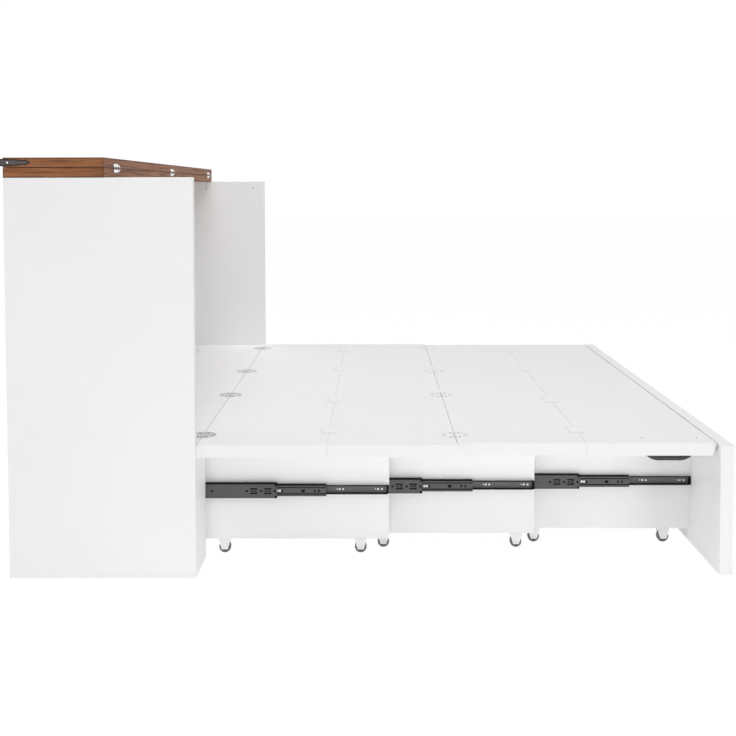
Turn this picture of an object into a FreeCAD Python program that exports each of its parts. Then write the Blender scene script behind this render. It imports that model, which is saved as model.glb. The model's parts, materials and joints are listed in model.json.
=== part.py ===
"""Cabinet bed, opened out: a chest with a folding lid, two hinged deck sections and a telescoping base.

Millimetres, +Z up. +X runs from the chest towards the foot, and the near side faces -Y.
The origin is on the floor, at the middle of the part's length and width.
"""
import FreeCAD, Part
import math
import os

from FreeCAD import Vector

# Chest
cabinet_depth = 536.0
bed_width = 1600.0
side_panel_height = 1150.0
side_panel_thickness = 25.0
back_thickness = 15.0
lid_thickness = 28.0
lid_gap = 0.6
box_width = 145.0
board_thickness = 18.0
bearer_size = 36.0
bearer_middle_from_back = 246.0

# Deck
deck_top = 381.0
deck_thickness = 36.0
section_top_gap = 16.0
fold_clearance = 4.0
section_one_inset = 14.0
section_two_inset = 33.0
bevel_spare = 1.5
deck_board_split = 268.0
board_seam = 0.4
deck_seam = 1.2
pivot_height = 1.0
deck_side_gap = 0.5
support_gap = 0.5

# Telescoping base
slide_gap = 22.0
wall_bottom = 46.0
wall_clearance = 6.0
wall_top_step = 1.0
stage_count = 3
stage_travel_shares = [0.3628, 0.3038]
rail_gap = 2.0
closed_gap = 1.0
closed_foot_reach = 21.0
wall_back_reach = 7.0
rear_rail_thickness = 12.0
rear_rail_bottom = 60.0
rear_rail_height = 100.0
bearer_thickness = 18.0
bearer_step = 19.0
foot_thickness = 38.0
foot_inset = 16.0
foot_gap = 4.5
foot_top_drop = 1.0
foot_floor_gap = 3.0

# Ball-bearing slides: fixed rail, outer, middle and inner member
slide_height = 200.0
member_heights = [55.0, 45.0, 35.0, 25.0]
member_web_offsets = [0.0, 2.6, 5.6]
member_flange_reaches = [15.0, 16.5, 18.0]
inner_flange_reach = 13.0
member_sheet = 1.6
member_length = 400.0
fixed_rail_length = 430.0
outer_travel_shares = [0.406, 0.232, 0.297]
middle_travel_shares = [0.687, 0.581, 0.616]
member_end_step = 2.0
ball_diameter = 3.0
ball_spacing = 6.0
balls_in_row = 8
cage_thickness = 1.0
cage_width = 5.0

# Casters
wheel_radius = 18.0
wheel_width = 14.0
hub_radius = 7.0
hub_width = 15.0
axle_radius = 3.0
axle_clearance = 0.05
cheek_thickness = 4.0
caster_width = 25.0
fork_top_length = 38.0
fork_bottom_length = 17.0
fork_bottom = 9.5
fork_crown_bottom = 38.5
caster_rear_insets = [57.6, 80.0, 46.0]
caster_front_insets = [87.4, 56.0, 82.0]

# Deck hinges: oval flush leaves with a knuckle at the seam
oval_reach = 39.0
oval_width = 58.0
leaf_thickness = 2.5
leaf_proud = 0.3
deck_knuckle_radius = 2.2
deck_knuckle_length = 50.0
deck_pin_radius = 1.1
deck_hinge_shares = [-0.853, -0.238, 0.25, 0.86]
oval_screw_shares = [(0.333, -0.328), (0.333, 0.328), (0.744, 0.0)]

# Lid hinges: narrow leaves let into the board edges
lid_leaf_reach = 14.0
lid_leaf_width = 74.0
lid_leaf_thickness = 2.0
lid_knuckle_radius = 2.5
lid_pin_radius = 1.3
lid_hinge_shares = [-0.850, 0.022, 0.90]
lid_screw_shares = [(0.607, -0.324), (0.607, 0.324)]
knuckle_gap = 0.3
relief_gap = 0.5
mortise_gap = 0.2

# Joining plates across the glued board seams
plate_length = 52.0
plate_width = 72.0
plate_thickness = 1.5
plate_corner = 4.0
plate_shares = [-0.785, -0.325, 0.31, 0.805]
plate_screw_shares = [(-0.308, -0.333), (-0.308, 0.333), (0.308, -0.333), (0.308, 0.333)]

# Screws
screw_head_radius = 3.2
screw_head_depth = 1.4
screw_shank_radius = 1.6
screw_length = 16.0
screw_clearance = 0.05
panel_screw_setbacks = [270.0, 52.0]
panel_screw_drop = 32.0

# Pull handle under section two's near edge
handle_spacing = 160.0
handle_from_end = 118.0
handle_edge_setback = 57.0
handle_projection = 32.0
handle_rod_radius = 7.0
handle_end_drop = 3.0
handle_foot_radius = 8.0
handle_foot_height = 8.0
handle_bolt_radius = 2.0
handle_bolt_grip = 6.0

# Corner straps on the lid's folding board
strap_length = 78.0
strap_height = 21.0
strap_neck = 12.0
strap_tip = 15.5
strap_thickness = 2.0
strap_return = 8.0
strap_return_width = 24.0
strap_shoulder_share = 0.55
strap_neck_share = 0.73
strap_tip_share = 0.84
strap_screw_from_end = 14.0

overrun = 1.0

# Places that follow from the sizes
half_width = bed_width / 2
pivot_z = deck_top + pivot_height
section_one_length = side_panel_height - pivot_z - section_top_gap
section_two_length = section_one_length - fold_clearance
overall_length = (
    strap_return + cabinet_depth + section_one_length + section_two_length + foot_gap + foot_thickness
)
back_x = -overall_length / 2 + strap_return
front_x = back_x + cabinet_depth
pivot_a_x = front_x
pivot_c_x = pivot_a_x + section_one_length
section_two_end_x = pivot_c_x + section_two_length
foot_x = section_two_end_x + foot_gap
deck_bottom = deck_top - deck_thickness
lid_board_depth = (cabinet_depth + pivot_height + deck_thickness - lid_gap) / 2
fold_x = back_x + lid_board_depth
lid_pivot_x = fold_x + lid_gap / 2
lid_seam_z = side_panel_height + lid_thickness + lid_gap / 2
inner_half_width = half_width - side_panel_thickness
base_travel = foot_x - front_x - closed_foot_reach
stage_travels = [base_travel * share for share in stage_travel_shares]
stage_travels.append(base_travel - sum(stage_travels))
closed_end_x = front_x + closed_foot_reach - 2 * closed_gap
stage_ends = [closed_end_x + sum(stage_travels[:stage + 1]) for stage in range(stage_count - 1)]
stage_ends.append(foot_x)
carrier_ends = [front_x] + stage_ends[:-1]
longest_wall = closed_end_x - back_x + wall_back_reach
stage_lengths = [longest_wall - (rear_rail_thickness + rail_gap) * stage for stage in range(stage_count)]
stage_lengths[-1] += 2 * closed_gap
outer_travels = [travel * share for travel, share in zip(stage_travels, outer_travel_shares)]
middle_travels = [travel * share for travel, share in zip(stage_travels, middle_travel_shares)]
wall_top = deck_bottom - bearer_size - wall_clearance
# Stage one goes in while section two folds, the others while section one lifts
fold_slope = stage_travels[0] / math.pi / section_two_length
lift_slope = sum(stage_travels[1:]) / (math.pi / 2) / (section_one_length + section_two_length)
bevel_per_thickness = max(fold_slope, lift_slope)
section_two_bevel = deck_thickness * bevel_per_thickness - foot_gap + bevel_spare
stage_step = slide_gap + board_thickness
wall_faces = [-half_width + box_width + slide_gap + stage_step * stage for stage in range(stage_count)]


def block(x0, x1, y0, y1, z0, z1):
    return Part.makeBox(x1 - x0, y1 - y0, z1 - z0, Vector(x0, y0, z0))


def rod(centre, direction, radius, length):
    return Part.makeCylinder(radius, length, centre, direction)


def prism(points, depth):
    return Part.Face(Part.makePolygon(points + points[:1])).extrude(depth)


def shares_of_width(shares):
    return [half_width * share for share in shares]


def far_copy(shape):
    return shape.mirror(Vector(0, 0, 0), Vector(0, 1, 0))


def both_sides(shapes):
    return list(shapes) + [far_copy(shape) for shape in shapes]


def save(name, shapes):
    solids = [solid for shape in shapes for solid in shape.Solids]
    Part.makeCompound(solids).exportStep(f"parts/{name}.step")


def screw(x, y, z, direction, length=screw_length, shank=screw_shank_radius, spare=0.0):
    """A countersunk screw with its head's face at the point, driven along the direction."""
    point = Vector(x, y, z)
    head = Part.makeCone(
        screw_head_radius + spare, shank + spare, screw_head_depth, point, direction
    )
    return head.fuse(rod(point, direction, shank + spare, length + spare)).removeSplitter()


def place(shape, x, y, z, turn=0.0):
    """Turn about Y, then move: a shape drawn about its pivot goes to its hinge line."""
    moved = shape.copy()
    moved.rotate(Vector(0, 0, 0), Vector(0, 1, 0), turn)
    moved.translate(Vector(x, y, z))
    return moved


def oval_outline(start, spare):
    """Half an oval on +X, from the seam to its round end."""
    radius = oval_width / 2 + spare
    centre = oval_reach - oval_width / 2
    near_seam = Vector(start, -radius, 0)
    near_turn = Vector(centre, -radius, 0)
    far_turn = Vector(centre, radius, 0)
    far_seam = Vector(start, radius, 0)
    edges = [
        Part.LineSegment(near_seam, near_turn).toShape(),
        Part.Arc(near_turn, Vector(centre + radius, 0, 0), far_turn).toShape(),
        Part.LineSegment(far_turn, far_seam).toShape(),
        Part.LineSegment(far_seam, near_seam).toShape(),
    ]
    return Part.Face(Part.Wire(edges))


def narrow_outline(start, spare):
    """A rectangle on +X, from the seam to the leaf's edge."""
    half = lid_leaf_width / 2 + spare
    reach = lid_leaf_reach + spare
    corners = [(start, -half), (reach, -half), (reach, half), (start, half)]
    points = [Vector(x, y, 0) for x, y in corners]
    return Part.Face(Part.makePolygon(points + points[:1]))


deck_hinge = {
    "outline": oval_outline, "seam": deck_seam / 2, "pivot": pivot_height, "thickness": leaf_thickness,
    "proud": leaf_proud, "knuckle": deck_knuckle_radius, "length": deck_knuckle_length,
    "pin": deck_pin_radius, "reach": oval_reach, "width": oval_width, "screw_shares": oval_screw_shares,
}
lid_hinge = {
    "outline": narrow_outline, "seam": lid_gap / 2, "pivot": lid_gap / 2, "thickness": lid_leaf_thickness,
    "proud": 0.0, "knuckle": lid_knuckle_radius, "length": lid_leaf_width,
    "pin": lid_pin_radius, "reach": lid_leaf_reach, "width": lid_leaf_width, "screw_shares": lid_screw_shares,
}


def knuckle_spans(hinge, middle):
    """The stretches of the pin that one leaf holds: the middle third, or the two outer thirds."""
    third = hinge["length"] / 3
    if middle:
        return [(-third / 2 + knuckle_gap / 2, third / 2 - knuckle_gap / 2)]
    return [
        (-hinge["length"] / 2, -third / 2 - knuckle_gap / 2),
        (third / 2 + knuckle_gap / 2, hinge["length"] / 2),
    ]


def pin_rod(start, end, radius):
    return rod(Vector(0, start, 0), Vector(0, 1, 0), radius, end - start)


def hinge_screw_points(hinge):
    face = hinge["proud"] - hinge["pivot"]
    return [(hinge["reach"] * x, hinge["width"] * y, face) for x, y in hinge["screw_shares"]]


def hinge_leaf(hinge, middle):
    """One leaf on +X of its pin, drawn about the pin."""
    top = hinge["proud"] - hinge["pivot"]
    plate = hinge["outline"](hinge["seam"], 0.0).extrude(Vector(0, 0, -hinge["thickness"]))
    plate.translate(Vector(0, 0, top))
    for start, end in knuckle_spans(hinge, not middle):
        relief = pin_rod(start - knuckle_gap, end + knuckle_gap, hinge["knuckle"] + relief_gap)
        plate = plate.cut(relief)
    for start, end in knuckle_spans(hinge, middle):
        plate = plate.fuse(pin_rod(start, end, hinge["knuckle"]))
    bore = pin_rod(-hinge["length"], hinge["length"], hinge["pin"] + axle_clearance)
    plate = plate.cut(bore)
    for x, y, z in hinge_screw_points(hinge):
        plate = plate.cut(screw(x, y, z, Vector(0, 0, -1), spare=screw_clearance))
    return plate.removeSplitter()


def hinge_mortise(hinge):
    """What one leaf takes out of its board: the plate's bed, the knuckle's hollow and the pilot holes."""
    depth = hinge["thickness"] - hinge["proud"]
    bed = hinge["outline"](-hinge["seam"], mortise_gap).extrude(Vector(0, 0, depth + overrun))
    bed.translate(Vector(0, 0, -hinge["pivot"] - depth))
    half = hinge["length"] / 2 + mortise_gap
    cut = bed.fuse(pin_rod(-half, half, hinge["knuckle"] + relief_gap))
    for x, y, z in hinge_screw_points(hinge):
        cut = cut.fuse(screw(x, y, z, Vector(0, 0, -1), spare=screw_clearance))
    return cut


def hinge_screws(hinge):
    return [screw(x, y, z, Vector(0, 0, -1)) for x, y, z in hinge_screw_points(hinge)]


def opposite(shape):
    """The same leaf on -X of its pin."""
    turned = shape.copy()
    turned.rotate(Vector(0, 0, 0), Vector(0, 0, 1), 180)
    return turned


def hinge_pin(hinge):
    return pin_rod(-hinge["length"] / 2, hinge["length"] / 2, hinge["pin"])


def deck_places(pivot_x):
    return [(pivot_x, y, pivot_z, 0.0) for y in shares_of_width(deck_hinge_shares)]


def lid_places():
    return [(lid_pivot_x, y, lid_seam_z, 90.0) for y in shares_of_width(lid_hinge_shares)]


def put(shapes, spots):
    return [place(shape, *spot) for spot in spots for shape in shapes]


def cut_all(board, cuts):
    for cut in cuts:
        board = board.cut(cut)
    return board


def joining_plate(spare, thickness):
    """A plate with clipped corners, centred on its seam, its underside at zero."""
    half_x = plate_length / 2 + spare
    half_y = plate_width / 2 + spare
    x_in = half_x - plate_corner
    y_in = half_y - plate_corner
    corners = [
        (-x_in, -half_y), (x_in, -half_y), (half_x, -y_in), (half_x, y_in),
        (x_in, half_y), (-x_in, half_y), (-half_x, y_in), (-half_x, -y_in),
    ]
    return prism([Vector(x, y, 0) for x, y in corners], Vector(0, 0, thickness))


def plate_screw_set(spare):
    return [
        screw(plate_length * x, plate_width * y, plate_thickness, Vector(0, 0, -1), spare=spare)
        for x, y in plate_screw_shares
    ]


def plate_spots(seam_x):
    return [(seam_x, y, deck_top + leaf_proud - plate_thickness) for y in shares_of_width(plate_shares)]


def plates_at(seam_x):
    plate = cut_all(joining_plate(0.0, plate_thickness), plate_screw_set(screw_clearance))
    return put([plate], plate_spots(seam_x))


def plate_cuts(seam_x):
    bed = joining_plate(mortise_gap, plate_thickness + overrun)
    return put([bed] + plate_screw_set(screw_clearance), plate_spots(seam_x))


def plate_screws_at(seam_x):
    return put(plate_screw_set(0.0), plate_spots(seam_x))


def panel_screws(spare):
    """The screws near the top of the near panel's inner face."""
    height = side_panel_height - panel_screw_drop
    return [
        screw(front_x - setback, -inner_half_width, height, Vector(0, -1, 0), spare=spare)
        for setback in panel_screw_setbacks
    ]


def build_chest():
    panel = block(back_x, front_x, -half_width, -inner_half_width, 0, side_panel_height)
    panel = cut_all(panel, panel_screws(screw_clearance))
    save("side_panel_near", [panel])
    save("side_panel_far", [far_copy(panel)])
    save("back_panel", [block(
        back_x, back_x + back_thickness, -inner_half_width, inner_half_width, deck_bottom, side_panel_height
    )])

    box_inner = -half_width + box_width
    box_wall = block(
        back_x, front_x - board_thickness, box_inner - board_thickness, box_inner, 0, deck_bottom
    )
    stile = block(front_x - board_thickness, front_x, -inner_half_width, box_inner, 0, deck_bottom)
    save("side_box_walls", both_sides([box_wall]))
    save("front_stiles", both_sides([stile]))
    bearer_starts = [back_x, back_x + bearer_middle_from_back]
    save("deck_bearers", [
        block(start, start + bearer_size, box_inner, -box_inner, deck_bottom - bearer_size, deck_bottom)
        for start in bearer_starts
    ])
    return both_sides(panel_screws(0.0))


def build_fixed_deck():
    y_edge = inner_half_width - deck_side_gap
    split_x = back_x + deck_board_split
    cuts = plate_cuts(split_x) + put([opposite(hinge_mortise(deck_hinge))], deck_places(pivot_a_x))
    rear = block(
        back_x + back_thickness, split_x - board_seam / 2, -y_edge, y_edge, deck_bottom, deck_top
    )
    front = block(
        split_x + board_seam / 2, pivot_a_x - deck_seam / 2, -y_edge, y_edge, deck_bottom, deck_top
    )
    save("deck_rear_board", [cut_all(rear, cuts)])
    save("deck_front_board", [cut_all(front, cuts)])
    save("deck_joining_plates", plates_at(split_x))
    save("deck_hinge_leaves", put([opposite(hinge_leaf(deck_hinge, False))], deck_places(pivot_a_x)))
    save("deck_hinge_pins", put([hinge_pin(deck_hinge)], deck_places(pivot_a_x)))
    leaf_screws = [opposite(shape) for shape in hinge_screws(deck_hinge)]
    return plate_screws_at(split_x) + put(leaf_screws, deck_places(pivot_a_x))


def build_section_one():
    y_edge = half_width - section_one_inset
    split_x = (pivot_a_x + pivot_c_x) / 2
    cuts = plate_cuts(split_x) + put([hinge_mortise(deck_hinge)], deck_places(pivot_a_x))
    cuts += put([opposite(hinge_mortise(deck_hinge))], deck_places(pivot_c_x))
    rear = block(
        pivot_a_x + deck_seam / 2, split_x - board_seam / 2, -y_edge, y_edge, deck_bottom, deck_top
    )
    front = block(
        split_x + board_seam / 2, pivot_c_x - deck_seam / 2, -y_edge, y_edge, deck_bottom, deck_top
    )
    save("section_one_rear_board", [cut_all(rear, cuts)])
    save("section_one_front_board", [cut_all(front, cuts)])
    save("section_one_joining_plates", plates_at(split_x))
    save("section_one_rear_leaves", put([hinge_leaf(deck_hinge, True)], deck_places(pivot_a_x)))
    save("section_one_front_leaves", put([opposite(hinge_leaf(deck_hinge, False))], deck_places(pivot_c_x)))
    save("section_hinge_pins", put([hinge_pin(deck_hinge)], deck_places(pivot_c_x)))
    screws = plate_screws_at(split_x) + put(hinge_screws(deck_hinge), deck_places(pivot_a_x))
    screws += put([opposite(shape) for shape in hinge_screws(deck_hinge)], deck_places(pivot_c_x))
    save("section_one_screws", screws)


def handle_bolts(y_handle, spare):
    """The two bolts that come down through the board into the handle's feet."""
    centre = section_two_end_x - handle_from_end
    return [
        screw(
            centre + side * handle_spacing / 2, y_handle, deck_top, Vector(0, 0, -1),
            deck_thickness + handle_bolt_grip, handle_bolt_radius, spare,
        )
        for side in (-1, 1)
    ]


def pull_handle(y_handle):
    """A round bar arched into a bow, on a short foot at each end."""
    centre = section_two_end_x - handle_from_end
    ends = [centre - handle_spacing / 2, centre + handle_spacing / 2]
    end_z = deck_bottom - handle_end_drop
    low_z = deck_bottom - handle_projection + handle_rod_radius
    arch = Part.Arc(
        Vector(ends[0], y_handle, end_z), Vector(centre, y_handle, low_z), Vector(ends[1], y_handle, end_z)
    )
    start_direction = arch.tangent(arch.FirstParameter)[0]
    section = Part.makeCircle(handle_rod_radius, arch.value(arch.FirstParameter), start_direction)
    bar = Part.Wire([arch.toShape()]).makePipeShell([Part.Wire([section])], True, False)
    feet = [
        rod(Vector(x, y_handle, deck_bottom), Vector(0, 0, -1), handle_foot_radius, handle_foot_height)
        for x in ends
    ]
    reach = handle_spacing + handle_foot_radius
    above = block(
        centre - reach, centre + reach, y_handle - handle_foot_radius, y_handle + handle_foot_radius,
        deck_bottom, deck_top,
    )
    return cut_all(bar.fuse(feet).removeSplitter().cut(above), handle_bolts(y_handle, screw_clearance))


def build_section_two():
    y_edge = half_width - section_two_inset
    split_x = (pivot_c_x + section_two_end_x) / 2
    y_handle = -y_edge + handle_edge_setback
    cuts = plate_cuts(split_x) + put([hinge_mortise(deck_hinge)], deck_places(pivot_c_x))
    cuts += handle_bolts(y_handle, screw_clearance)
    rear = block(
        pivot_c_x + deck_seam / 2, split_x - board_seam / 2, -y_edge, y_edge, deck_bottom, deck_top
    )
    front = prism(
        [
            Vector(split_x + board_seam / 2, -y_edge, deck_bottom),
            Vector(section_two_end_x - section_two_bevel, -y_edge, deck_bottom),
            Vector(section_two_end_x, -y_edge, deck_top),
            Vector(split_x + board_seam / 2, -y_edge, deck_top),
        ],
        Vector(0, 2 * y_edge, 0),
    )
    save("section_two_rear_board", [cut_all(rear, cuts)])
    save("section_two_front_board", [cut_all(front, cuts)])
    save("section_two_joining_plates", plates_at(split_x))
    save("section_two_leaves", put([hinge_leaf(deck_hinge, True)], deck_places(pivot_c_x)))
    save("pull_handle", [pull_handle(y_handle)])
    screws = plate_screws_at(split_x) + put(hinge_screws(deck_hinge), deck_places(pivot_c_x))
    save("section_two_screws", screws + handle_bolts(y_handle, 0.0))


def strap_screw(spare):
    x = back_x + strap_screw_from_end
    return screw(x, -half_width - strap_thickness, strap_middle_z(), Vector(0, 1, 0), spare=spare)


def strap_middle_z():
    return lid_seam_z + lid_gap / 2 + lid_thickness / 2


def corner_strap():
    """A spear-tipped strap on the board's end grain, with a return bent behind the board's edge."""
    middle = strap_middle_z()
    length = strap_length
    points = [
        (0.0, strap_height / 2),
        (length * strap_shoulder_share, (strap_height + strap_neck) / 4),
        (length * strap_neck_share, strap_neck / 2),
        (length * strap_tip_share, strap_tip / 2),
    ]
    upper = [Vector(back_x + x, -half_width, middle + z) for x, z in points]
    lower = [Vector(back_x + x, -half_width, middle - z) for x, z in reversed(points)]
    tip = [Vector(back_x + length, -half_width, middle)]
    blade = prism(upper + tip + lower, Vector(0, -strap_thickness, 0))
    outer = block(
        back_x - strap_return, back_x, -half_width - strap_thickness, -half_width,
        middle - strap_height / 2, middle + strap_height / 2,
    )
    bent = block(
        back_x - strap_return, back_x - strap_return + strap_thickness,
        -half_width - strap_thickness, -half_width + strap_return_width,
        middle - strap_height / 2, middle + strap_height / 2,
    )
    return blade.fuse([outer, bent]).removeSplitter().cut(strap_screw(screw_clearance))


def build_lid():
    spots = lid_places()
    mortise = hinge_mortise(lid_hinge)
    rear = block(
        back_x, fold_x, -half_width, half_width, side_panel_height, side_panel_height + lid_thickness
    )
    folded_z = lid_seam_z + lid_gap / 2
    front = block(back_x, fold_x, -half_width, half_width, folded_z, folded_z + lid_thickness)
    save("lid_rear_board", [cut_all(rear, put([mortise], spots))])
    front = cut_all(front, put([opposite(mortise)], spots))
    save("lid_front_board", [cut_all(front, both_sides([strap_screw(screw_clearance)]))])
    save("lid_hinge_lower_leaves", put([hinge_leaf(lid_hinge, False)], spots))
    save("lid_hinge_upper_leaves", put([opposite(hinge_leaf(lid_hinge, True))], spots))
    save("lid_hinge_pins", put([hinge_pin(lid_hinge)], spots))
    save("corner_straps", both_sides([corner_strap()]))
    upper_screws = put([opposite(shape) for shape in hinge_screws(lid_hinge)], spots)
    save("lid_front_screws", upper_screws + both_sides([strap_screw(0.0)]))
    return put(hinge_screws(lid_hinge), spots)


def channel(x0, x1, face_y, member):
    """A fixed, outer or middle member: its web nearest its carrier, its flanges towards the wall."""
    half = member_heights[member] / 2
    y0 = face_y + member_web_offsets[member]
    y1 = face_y + member_flange_reaches[member]
    whole = block(x0, x1, y0, y1, slide_height - half, slide_height + half)
    hollow = block(
        x0 - overrun, x1 + overrun, y0 + member_sheet, y1 + overrun,
        slide_height - half + member_sheet, slide_height + half - member_sheet,
    )
    return whole.cut(hollow)


def inner_member(x0, x1, wall_y):
    """The inner member: its web on the moving wall, its flanges back towards the carrier."""
    half = member_heights[-1] / 2
    whole = block(x0, x1, wall_y - inner_flange_reach, wall_y, slide_height - half, slide_height + half)
    hollow = block(
        x0 - overrun, x1 + overrun, wall_y - inner_flange_reach - overrun, wall_y - member_sheet,
        slide_height - half + member_sheet, slide_height + half - member_sheet,
    )
    return whole.cut(hollow)


def ball_cages(x_start, y_centre, member):
    """A caged row of balls above and below a member, at the end that stays inside the larger one."""
    outer_half = member_heights[member - 1] / 2 - member_sheet
    inner_half = member_heights[member] / 2
    cages = []
    for side in (-1, 1):
        z = slide_height + side * (outer_half + inner_half) / 2
        cage = block(
            x_start, x_start + ball_spacing * balls_in_row,
            y_centre - cage_width / 2, y_centre + cage_width / 2,
            z - cage_thickness / 2, z + cage_thickness / 2,
        )
        balls = [
            Part.makeSphere(ball_diameter / 2, Vector(x_start + ball_spacing * (number + 0.5), y_centre, z))
            for number in range(balls_in_row)
        ]
        cages.append(cage.fuse(balls))
    return cages


def ball_line(face_y):
    """The balls' middle line, inside the flanges of both members."""
    return face_y + (member_web_offsets[-1] + member_flange_reaches[0]) / 2


def build_slide(stage):
    """The moving outer and middle members of one stage's slides, and its fixed and inner members."""
    face_y = wall_faces[stage] - slide_gap
    carrier_end = carrier_ends[stage]
    fixed_end = carrier_end - member_end_step
    if stage == 0:
        fixed_end -= board_thickness
    fixed = channel(fixed_end - fixed_rail_length, fixed_end, face_y, 0)
    outer_end = carrier_end - member_end_step + outer_travels[stage]
    middle_end = carrier_end - 2 * member_end_step + middle_travels[stage]
    inner_end = stage_ends[stage] - support_gap
    starts = [end - member_length for end in (outer_end, middle_end, inner_end)]
    line = ball_line(face_y)
    outer = [channel(starts[0], outer_end, face_y, 1)] + ball_cages(starts[0], line, 1)
    middle = [channel(starts[1], middle_end, face_y, 2)] + ball_cages(starts[1], line, 2)
    inner = [inner_member(starts[2], inner_end, wall_faces[stage])] + ball_cages(starts[2], line, 3)
    save(f"slide_{stage + 1}_outer_members", both_sides(outer))
    save(f"slide_{stage + 1}_middle_members", both_sides(middle))
    return both_sides([fixed]), both_sides(inner)


def caster_fork(x, face_y):
    """A tapered fork under the wall, its near cheek flush with the wall's face."""
    def cheek(y):
        return prism(
            [
                Vector(x - fork_top_length / 2, y, wall_bottom),
                Vector(x + fork_top_length / 2, y, wall_bottom),
                Vector(x + fork_bottom_length / 2, y, fork_bottom),
                Vector(x - fork_bottom_length / 2, y, fork_bottom),
            ],
            Vector(0, cheek_thickness, 0),
        )

    crown = block(
        x - wheel_radius, x + wheel_radius, face_y, face_y + caster_width, fork_crown_bottom, wall_bottom
    )
    fork = crown.fuse([cheek(face_y), cheek(face_y + caster_width - cheek_thickness)]).removeSplitter()
    hole = rod(
        Vector(x, face_y - overrun, wheel_radius), Vector(0, 1, 0),
        axle_radius + axle_clearance, caster_width + 2 * overrun,
    )
    axle = rod(Vector(x, face_y, wheel_radius), Vector(0, 1, 0), axle_radius, caster_width)
    return [fork.cut(hole), axle]


def caster_wheel(x, face_y):
    """A wheel with a raised hub, centred between its fork's cheeks."""
    middle_y = face_y + caster_width / 2

    def disc(radius, width):
        return rod(Vector(x, middle_y - width / 2, wheel_radius), Vector(0, 1, 0), radius, width)

    return disc(wheel_radius, wheel_width).fuse(disc(hub_radius, hub_width)).removeSplitter().cut(
        disc(axle_radius + axle_clearance, hub_width + 2 * overrun)
    )


def caster_places(stage):
    return {
        "rear": stage_ends[stage] - stage_lengths[stage] + caster_rear_insets[stage],
        "front": stage_ends[stage] - caster_front_insets[stage],
    }


def build_stage(stage, own_rails):
    """One stage of the base: its two walls, cross rails, slide rails, casters and wheels."""
    name = f"stage_{stage + 1}"
    face_y = wall_faces[stage]
    end_x = stage_ends[stage]
    start_x = end_x - stage_lengths[stage]
    top = wall_top - wall_top_step * stage
    save(f"{name}_walls", both_sides([
        block(start_x, end_x, face_y, face_y + board_thickness, wall_bottom, top)
    ]))
    inside = -(face_y + board_thickness)
    cross = [block(
        start_x, start_x + rear_rail_thickness, -inside, inside,
        rear_rail_bottom, rear_rail_bottom + rear_rail_height,
    )]
    stages_beyond = stage_count - 1 - stage
    if stages_beyond:
        bearer_end = end_x - bearer_step * stages_beyond
        cross.append(block(
            bearer_end - bearer_thickness, bearer_end, face_y, -face_y, top, deck_bottom - support_gap
        ))
    save(f"{name}_cross_rails", cross)
    save(f"{name}_slide_rails", own_rails)
    casters = []
    for end_name, x in caster_places(stage).items():
        casters += caster_fork(x, face_y)
        save(f"{name}_{end_name}_wheels", both_sides([caster_wheel(x, face_y)]))
    save(f"{name}_casters", both_sides(casters))


def build_foot():
    y_edge = half_width - foot_inset
    save("foot_panel", [block(
        foot_x, foot_x + foot_thickness, -y_edge, y_edge, foot_floor_gap, deck_top - foot_top_drop
    )])


os.makedirs("parts", exist_ok=True)
chest_screws = build_chest()
chest_screws += build_fixed_deck()
build_section_one()
build_section_two()
chest_screws += build_lid()
save("cabinet_screws", chest_screws)
fixed_rails, inner_rails = zip(*[build_slide(stage) for stage in range(stage_count)])
save("slide_1_fixed_rails", fixed_rails[0])
for stage in range(stage_count):
    next_rails = fixed_rails[stage + 1] if stage + 1 < stage_count else []
    build_stage(stage, inner_rails[stage] + next_rails)
build_foot()
print("front plane", front_x, "pivots", pivot_a_x, pivot_c_x, pivot_z, "lid pivot", lid_pivot_x, lid_seam_z)
print("stage travels", stage_travels, "outer", outer_travels, "middle", middle_travels)
print("wheels", [caster_places(stage) for stage in range(stage_count)], "bevel", section_two_bevel)
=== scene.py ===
import json
import math

import bmesh
import bpy
from mathutils import Matrix, Vector


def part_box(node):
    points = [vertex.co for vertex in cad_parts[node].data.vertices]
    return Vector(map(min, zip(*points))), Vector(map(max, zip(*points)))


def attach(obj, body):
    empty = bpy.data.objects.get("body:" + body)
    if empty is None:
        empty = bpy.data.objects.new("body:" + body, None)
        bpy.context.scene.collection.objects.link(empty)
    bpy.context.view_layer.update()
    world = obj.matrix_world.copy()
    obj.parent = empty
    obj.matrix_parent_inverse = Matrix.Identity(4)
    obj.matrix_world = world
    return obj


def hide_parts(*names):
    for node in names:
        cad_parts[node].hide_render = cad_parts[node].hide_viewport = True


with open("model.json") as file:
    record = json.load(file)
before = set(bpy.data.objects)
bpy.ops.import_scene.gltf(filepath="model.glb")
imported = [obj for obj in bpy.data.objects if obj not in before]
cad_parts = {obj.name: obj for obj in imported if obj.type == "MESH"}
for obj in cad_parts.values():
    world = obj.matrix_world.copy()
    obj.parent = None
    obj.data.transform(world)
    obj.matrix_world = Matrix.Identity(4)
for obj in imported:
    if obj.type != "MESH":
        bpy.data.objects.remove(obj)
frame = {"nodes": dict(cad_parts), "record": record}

scene = bpy.context.scene
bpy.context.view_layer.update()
record = frame["record"]
nodeBody = {node: body for body, nodes in record["behaviour"]["bodies"].items() for node in nodes}
stages = (1, 2, 3)
sections = ("deck", "section_one", "section_two")
mm = 0.001
mergeDistance = 0.000001
print("frame loaded with", len(frame["nodes"]), "nodes")


# mesh helpers
def camel(node):
    first, *rest = node.split("_")
    return first + "".join(word.capitalize() for word in rest)


def looseObject(name, bm):
    mesh = bpy.data.meshes.new(name)
    bm.to_mesh(mesh)
    bm.free()
    thing = bpy.data.objects.new(name, mesh)
    scene.collection.objects.link(thing)
    return thing


def dropObject(thing):
    mesh = thing.data
    bpy.data.objects.remove(thing)
    bpy.data.meshes.remove(mesh)


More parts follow.
